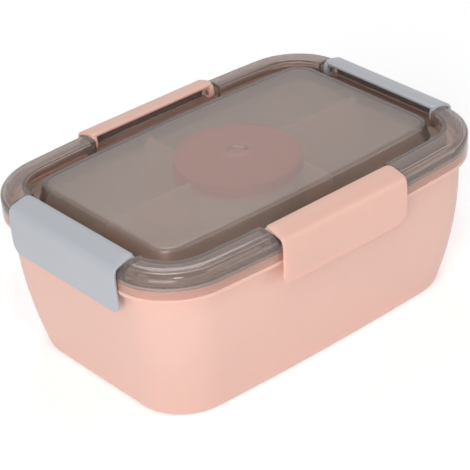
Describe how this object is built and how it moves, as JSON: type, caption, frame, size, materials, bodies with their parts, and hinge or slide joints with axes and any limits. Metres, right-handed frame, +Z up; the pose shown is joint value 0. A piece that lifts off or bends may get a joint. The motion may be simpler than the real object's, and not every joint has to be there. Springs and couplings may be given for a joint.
{
  "type": "bento lunch box",
  "caption": "Rectangular lunch box with a deep tub, a clip-down smoky lid, hinged side clasps, a lift-out divided tray and a lidded dressing cup.",
  "frame": {"origin": "centre of the footprint, on the surface the box stands on", "axes": "+X along the long side, +Y across the box towards its back clasp, +Z up"},
  "size_m": [0.245, 0.172, 0.1003],
  "materials": {
    "pink_plastic": "satin",
    "clasp_pink": "satin",
    "clasp_grey": "satin",
    "smoky_plastic": "gloss",
    "milky_plastic": "satin",
    "silicone": "matte"
  },
  "bodies": {
    "bowl": {"bowl": "pink_plastic"},
    "tray": {"tray": "milky_plastic"},
    "dressing_cup": {"dressing_cup": "milky_plastic"},
    "cup_lid": {"cup_lid": "pink_plastic"},
    "lid": {"lid": "smoky_plastic", "lid_seal": "silicone"},
    "clasp_front": {"clasp_front": "clasp_pink"},
    "clasp_right": {"clasp_right": "clasp_grey"},
    "clasp_back": {"clasp_back": "clasp_pink"},
    "clasp_left": {"clasp_left": "clasp_grey"}
  },
  "joints": [
    {"name": "tray_lift", "type": "slide", "parent": "bowl", "child": "tray", "axis": [0, 0, 1], "range_m": [0, 0.12]},
    {"name": "cup_lift", "type": "slide", "parent": "tray", "child": "dressing_cup", "axis": [0, 0, 1], "range_m": [0, 0.1]},
    {"name": "cup_lid_lift", "type": "slide", "parent": "dressing_cup", "child": "cup_lid", "axis": [0, 0, 1], "range_m": [0, 0.1]},
    {"name": "lid_lift", "type": "slide", "parent": "cup_lid", "child": "lid", "axis": [0, 0, 1], "range_m": [0, 0.12]},
    {"name": "clasp_front_hinge", "type": "hinge", "parent": "lid", "child": "clasp_front", "pos_m": [0, -0.0737, 0.094], "axis": [-1, 0, 0], "range_deg": [0, 95]},
    {"name": "clasp_right_hinge", "type": "hinge", "parent": "lid", "child": "clasp_right", "pos_m": [0.1102, 0, 0.094], "axis": [0, -1, 0], "range_deg": [0, 95]},
    {"name": "clasp_back_hinge", "type": "hinge", "parent": "lid", "child": "clasp_back", "pos_m": [0, 0.0737, 0.094], "axis": [1, 0, 0], "range_deg": [0, 95]},
    {"name": "clasp_left_hinge", "type": "hinge", "parent": "lid", "child": "clasp_left", "pos_m": [-0.1102, 0, 0.094], "axis": [0, 1, 0], "range_deg": [0, 95]}
  ]
}
